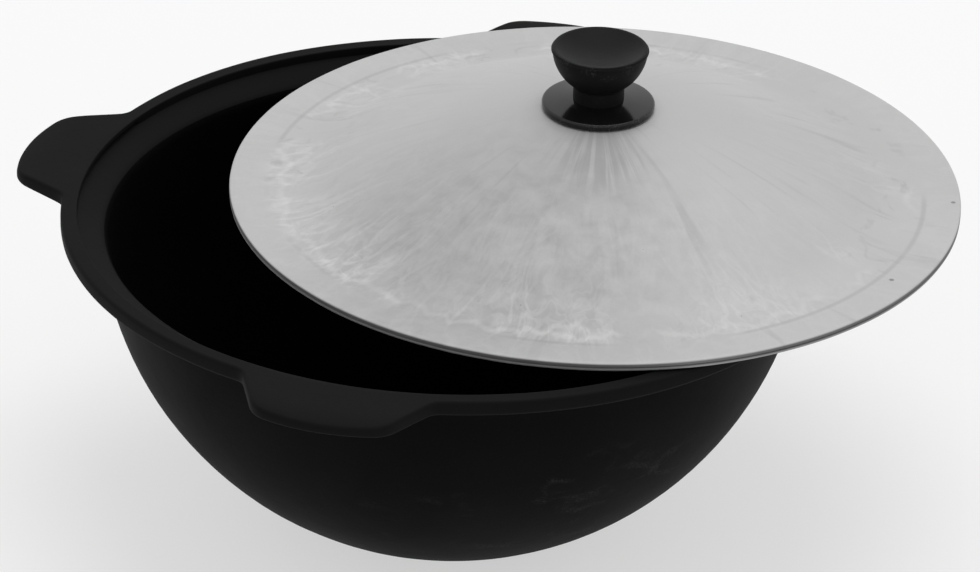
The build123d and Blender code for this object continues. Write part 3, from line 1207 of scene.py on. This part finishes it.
@dataclass
class DomedLid:
    """Aluminium lid: knob pad, dome, flat brim and turned-down lip with a bead."""

    sheet: float = 0.0022
    lip_h: float = 0.0046
    bead_r: float = 0.0011
    brim_w: float = 0.019
    brim_blend: float = 0.070
    dome_h: float = 0.0496
    dome_crown: float = 0.420
    pad_r: float = 0.031
    edge_round: float = 0.0010
    groove: float = 0.0008
    hole_r: float = 0.0029
    columns: int = 400
    unevenness: float = 0.00025
    uneven_patch: float = 0.035
    finish: SpunAluminium = SpunAluminium()

    def __post_init__(self) -> None:
        """Take the axis and the radius from the frame."""
        low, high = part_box("lid_shell")
        self.axis = axis_of("lid_shell")
        self.radius = (high.x - low.x) / 2
        self.dome_r = self.radius - self.brim_w

    def build(self) -> None:
        """Model the lid and dress it."""
        piece = self._turn()
        roughen(piece, self.uneven_patch, self.unevenness)
        edge = (self.radius, self.lip_h)
        dull = self.finish.material("aluminium_dull", self.axis, self.dome_r, edge)
        place_piece(piece, "lid_shell", Body.LID, Slot.LID, dull)

    def _dome(self, drop: float) -> tuple[Point, Point, Point, Point, Point]:
        """The dome's line in section, a distance below its top face.

        Args:
            drop: That distance.

        Returns:
            Start on the pad, centre of the crown, where crown and hollow meet, centre of the
            hollow, and the hollow's end on the brim.
        """
        run = self.dome_r - self.pad_r
        both = self.brim_blend + self.dome_crown
        across = self.brim_blend - (self.dome_h - self.lip_h)
        reach = hypot(run, across)
        turn = acos((both**2 - reach**2 - self.dome_crown**2) / (2 * reach * self.dome_crown))
        pad_slope = atan2(run, across) - turn
        steep = asin((run + self.dome_crown * sin(pad_slope)) / both)
        hollow_c = (self.dome_r, self.lip_h + self.brim_blend)
        hollow_r = self.brim_blend + drop
        meet = (hollow_c[0] - hollow_r * sin(steep), hollow_c[1] - hollow_r * cos(steep))
        crown_c = (hollow_c[0] - both * sin(steep), hollow_c[1] - both * cos(steep))
        crown_r = self.dome_crown - drop
        pad = (crown_c[0] + crown_r * sin(pad_slope), crown_c[1] + crown_r * cos(pad_slope))
        return pad, crown_c, meet, hollow_c, (self.dome_r, self.lip_h - drop)

    def _turn(self) -> bpy.types.Object:
        """Turn the lid's closed section.

        Returns:
            The mesh.
        """
        pad, crown_c, meet, hollow_c, brim = self._dome(0.0)
        low_pad, _, low_meet, _, low_brim = self._dome(self.sheet)
        under = self.lip_h - self.sheet
        wall_out = self.radius - self.groove
        wall_in = wall_out - self.sheet
        bead_c = (self.radius - self.bead_r, self.bead_r)
        on_bead = bead_c[1] + sqrt(self.bead_r**2 - (wall_out - bead_c[0]) ** 2)
        round_c = (self.radius - self.edge_round, self.lip_h - self.edge_round)
        lid = Turning("kazan_lid", self.axis, self.columns, (self.hole_r, self.dome_h), False)
        lid.to(pad[0], self.dome_h, steps=4)
        lid.arc(crown_c, *meet, steps=30)
        lid.arc(hollow_c, *brim, steps=12)
        lid.to(round_c[0], self.lip_h, steps=5)
        lid.arc(round_c, self.radius, round_c[1], steps=4)
        lid.to(self.radius, under)
        lid.to(wall_out, under)
        lid.to(wall_out, on_bead)
        lid.arc(bead_c, bead_c[0] - self.bead_r, self.bead_r, steps=14, turn=-1)
        lid.to(wall_in, self.bead_r)
        lid.to(wall_in, under)
        lid.to(*low_brim, steps=3)
        lid.arc(hollow_c, *low_meet, steps=10)
        lid.arc(crown_c, *low_pad, steps=24)
        lid.to(self.hole_r, self.dome_h - self.sheet, steps=3)
        lid.to(self.hole_r, self.dome_h)
        return lid.close()


@dataclass
class Knob:
    """Bakelite grip and the skirt under it, round the brass insert."""

    grip_r: float = 0.0243
    grip_lip: float = 0.0016
    dish_depth: float = 0.005
    flash_w: float = 0.0005
    flash_h: float = 0.0008
    flash_drop: float = 0.0009
    edge_round: float = 0.0006
    lip_bend: Point = (0.2, 0.1)   # in from and below the dish's edge, as shares of the round
    neck_blend: float = 0.0015
    neck_r: float = 0.013
    height: float = 0.0335
    skirt_r: float = 0.0288
    skirt_edge: float = 0.0035
    skirt_rise: float = 0.0018
    skirt_round: float = 0.0012
    spigot_r: float = 0.008
    spigot_h: float = 0.002
    spigot_clear: float = 0.0001
    hole_r: float = 0.0029
    insert_r: float = 0.005
    insert_l: float = 0.015
    insert_groove: float = 0.0006
    insert_groove_w: float = 0.002
    columns: int = 192
    grip_finish: MouldedBakelite = MouldedBakelite()
    skirt_finish: MouldedBakelite = MouldedBakelite(roughness=0.07, rubbed_roughness=0.10, specular=0.26)

    def __post_init__(self) -> None:
        """Take the axis from the frame."""
        self.axis = axis_of("knob_skirt")
        self.grip_z = self.skirt_edge + self.skirt_rise

    def build(self) -> None:
        """Model both pieces and dress them."""
        satin = self.grip_finish.material("bakelite_satin", self.axis, self.grip_r)
        place_piece(self._turn_grip(), "knob_grip", Body.KNOB, Slot.GRIP, satin)
        glossy = self.skirt_finish.material("bakelite_glossy", self.axis, self.skirt_r)
        place_piece(self._turn_skirt(), "knob_skirt", Body.KNOB, Slot.SKIRT, glossy)

    def _turn_grip(self) -> bpy.types.Object:
        """Turn the dished half ball, its flash line, the neck and the hollow for the insert.

        Returns:
            The mesh.
        """
        top, ball_c = self.height, (0.0, self.height)
        dish_half = self.grip_r - self.grip_lip
        dish_r = (dish_half**2 + self.dish_depth**2) / (2 * self.dish_depth)
        dish_c = (0.0, top - self.dish_depth + dish_r)
        dish_end = dish_half - self.edge_round
        bend_in, bend_down = (share * self.edge_round for share in self.lip_bend)
        flash_top = top - self.flash_drop
        flash_low = flash_top - self.flash_h
        flash_r = self.grip_r + self.flash_w
        half_flash = self.flash_h / 2
        ball_top = sqrt(self.grip_r**2 - (top - flash_low) ** 2)
        blend_r = self.neck_r + self.neck_blend
        blend_z = top - sqrt((self.grip_r + self.neck_blend) ** 2 - blend_r**2)
        share = self.grip_r / (self.grip_r + self.neck_blend)
        on_ball = (share * blend_r, top + share * (blend_z - top))
        insert_z = self.grip_z + self.spigot_h + self.spigot_clear
        groove_z = insert_z + (self.insert_l - self.insert_groove_w) / 2
        groove_r = self.insert_r - self.insert_groove
        disc_r = self.grip_r / 8   # the dish starts as a small disc
        start = (disc_r, self._on(dish_c, dish_r, disc_r))
        grip = Turning("knob_ball", self.axis, self.columns, start, True)
        grip.arc(dish_c, dish_end, self._on(dish_c, dish_r, dish_end), steps=16)
        grip.to(dish_half - bend_in, top - bend_down)
        grip.to(dish_half + self.edge_round, top)
        grip.to(self.grip_r - self.edge_round, top)
        round_c = (self.grip_r - self.edge_round, top - self.edge_round)
        grip.arc(round_c, self.grip_r, round_c[1], steps=4)
        grip.to(self.grip_r, flash_top)
        grip.to(flash_r - half_flash / 2, flash_top)
        grip.to(flash_r, flash_top - half_flash / 2)
        grip.to(flash_r, flash_low + half_flash / 2)
        grip.to(flash_r - half_flash / 2, flash_low)
        grip.to(ball_top, flash_low)
        grip.arc(ball_c, *on_ball, steps=18)
        grip.arc((blend_r, blend_z), self.neck_r, blend_z, steps=5)
        grip.to(self.neck_r, self.grip_z, steps=3)
        grip.to(self.spigot_r + self.spigot_clear, self.grip_z)
        grip.to(self.spigot_r + self.spigot_clear, insert_z)
        grip.to(self.insert_r, insert_z)
        grip.to(self.insert_r, groove_z)
        grip.to(groove_r, groove_z)
        grip.to(groove_r, groove_z + self.insert_groove_w)
        grip.to(self.insert_r, groove_z + self.insert_groove_w)
        grip.to(self.insert_r, insert_z + self.insert_l)
        return grip.close_pole()

    @staticmethod
    def _on(centre: Point, size: float, radius: float) -> float:
        """Height of the lower half of an arc at a distance from the axis."""
        return centre[1] - sqrt(size**2 - (radius - centre[0]) ** 2)

    def _turn_skirt(self) -> bpy.types.Object:
        """Turn the skirt's closed section.

        Returns:
            The mesh.
        """
        spigot_top = self.grip_z + self.spigot_h
        slope = self.skirt_rise / (self.skirt_r - self.neck_r)
        shoulder_r = self.skirt_r - self.skirt_round
        shoulder_z = self.skirt_edge + slope * self.skirt_round
        high_c = (shoulder_r, shoulder_z - self.skirt_round)
        low_c = (shoulder_r, self.skirt_round)
        skirt = Turning("knob_disc", self.axis, self.columns, (self.hole_r, spigot_top), False)
        skirt.to(self.spigot_r, spigot_top)
        skirt.to(self.spigot_r, self.grip_z)
        skirt.to(self.neck_r, self.grip_z)
        skirt.to(shoulder_r, shoulder_z, steps=6)
        skirt.arc(high_c, self.skirt_r, high_c[1], steps=5)
        skirt.to(self.skirt_r, low_c[1])
        skirt.arc(low_c, shoulder_r, 0.0, steps=5)
        skirt.to(self.hole_r, 0.0, steps=2)
        skirt.to(self.hole_r, spigot_top)
        return skirt.close()


@dataclass
class Fixings:
    """Screw, washers and insert, which keep their CAD meshes."""

    zinc: TurnedMetal = TurnedMetal((0.56, 0.57, 0.58), (0.34, 0.34, 0.33))
    spring: TurnedMetal = TurnedMetal((0.42, 0.41, 0.40), (0.20, 0.18, 0.16), roughness=0.34)
    brass: TurnedMetal = TurnedMetal((0.72, 0.50, 0.20), (0.38, 0.25, 0.11))

    def build(self) -> None:
        """Dress the four nodes."""
        self._dress("fixing_screw", Slot.SCREW, self.zinc)
        self._dress("plain_washer", Slot.WASHER, self.zinc)
        self._dress("spring_washer", Slot.SPRING, self.spring)
        self._dress("threaded_insert", Slot.INSERT, self.brass)

    @staticmethod
    def _dress(node: str, slot: Slot, finish: TurnedMetal) -> None:
        """Give a CAD node its finish.

        Args:
            node: The node's name.
            slot: Not used.
            finish: The finish.
        """
        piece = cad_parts[node]
        material = finish.material(node + "_metal", axis_of(node))
        if not piece.material_slots:
            piece.data.materials.append(material)
        for own in piece.material_slots:
            own.material = material
        LOG.info("%s: finish only", node)


# Studio


@dataclass
class Studio:
    """Pale floor, soft light and the camera at the photograph's angle."""

    floor_r: float = 4.0
    floor_tone: float = 0.97
    fibre_tone: float = 0.99
    fibre: Pattern = Pattern(0.004)
    floor_roughness: float = 0.9
    floor_specular: float = 0.1
    floor_glow: float = 0.55      # the share of plain white in what the camera sees of the floor
    azimuth: float = 16.1
    elevation: float = 27.62
    roll: float = 1.42
    distance: float = 3.052
    lens: float = 220.4
    sensor: float = 36.0
    aim_right: float = 0.0183
    aim_down: float = 0.0392
    sky: float = 0.62
    key_share: float = 0.36
    key_size: float = 5.0
    key_place: Triple = (0.2, 1.0, 6.2)
    view_depth: float = 20.0

    def build(self, rim_z: float) -> None:
        """Set the studio up.

        Args:
            rim_z: Height of the bowl's rim, at whose centre the camera is set.
        """
        self._floor()
        self._sky()
        rim = Vector((0, 0, rim_z))
        self._key(rim)
        self._camera(rim)

    def _floor(self) -> None:
        """Add the floor."""
        deselect_all()
        bpy.ops.mesh.primitive_circle_add(vertices=128, radius=self.floor_r, fill_type="NGON")
        floor = bpy.context.object
        floor.name = "floor"
        graph = Graph(bpy.data.materials.new("floor_paper"))
        fibre = graph.noise(graph.place(), self.fibre)
        values = {
            "Base Color": graph.blend(fibre, grey(self.floor_tone), grey(self.fibre_tone)),
            "Roughness": self.floor_roughness,
            "Specular IOR Level": self.floor_specular,
        }
        paper = graph.node("ShaderNodeBsdfPrincipled", values=values)
        white = graph.node("ShaderNodeEmission", values={"Color": grey(1.0), "Strength": 1.0})
        glow = self.floor_glow * graph.shown()
        shader = graph.node("ShaderNodeMixShader", values={0: glow, 1: paper, 2: white})
        floor.data.materials.append(graph.end(shader))

    def _sky(self) -> None:
        """Light from all round, which a camera or a reflection sees as white."""
        graph = Graph(bpy.data.worlds.new("studio_sky"))
        strength = self.sky + (1 - self.sky) * graph.shown()
        values = {"Color": grey(1.0), "Strength": strength}
        bpy.context.scene.world = graph.end(graph.node("ShaderNodeBackground", values=values))

    def _key(self, aim: Vector) -> None:
        """Add the large soft lamp overhead.

        Args:
            aim: The point that it faces.
        """
        deselect_all()
        bpy.ops.object.light_add(type="AREA", location=self.key_place)
        lamp = bpy.context.object
        lamp.name = "key_lamp"
        lamp.data.shape = "DISK"
        lamp.data.size = self.key_size
        gap = aim - lamp.location
        lamp.data.energy = self.key_share * pi**2 * gap.length_squared
        lamp.rotation_euler = gap.to_track_quat("-Z", "Y").to_euler()

    def _camera(self, rim: Vector) -> None:
        """Add the camera.

        Args:
            rim: Centre of the rim.
        """
        deselect_all()
        around, above = radians(self.azimuth), radians(self.elevation)
        back = Vector((sin(around) * cos(above), -cos(around) * cos(above), sin(above)))
        place = rim + self.distance * back
        level = Vector((0, 0, 1)).cross(back).normalized()
        tilt = Matrix.Rotation(radians(self.roll), 3, back)
        right, up = tilt @ level, tilt @ back.cross(level)
        aim = rim + self.aim_right * right - self.aim_down * up
        bpy.ops.object.camera_add(location=place)
        camera = bpy.context.object
        camera.name = "photo_camera"
        camera.data.sensor_width = self.sensor
        camera.data.lens = self.lens
        view = (place - aim).normalized()
        side = up.cross(view).normalized()
        turn = Matrix((side, view.cross(side), view)).transposed()
        camera.rotation_euler = turn.to_euler()
        camera.data.clip_end = self.view_depth
        bpy.context.scene.camera = camera


def main() -> None:
    """Build the kazan and its studio."""
    logging.basicConfig(level=logging.INFO, format="%(name)s: %(message)s")
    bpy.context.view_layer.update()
    bowl = CastBowl()
    bowl.build()
    DomedLid().build()
    Knob().build()
    Fixings().build()
    Studio().build(bowl.rim_z)
    bpy.context.scene.view_settings.view_transform = "Standard"


if __name__ == "__main__":
    main()
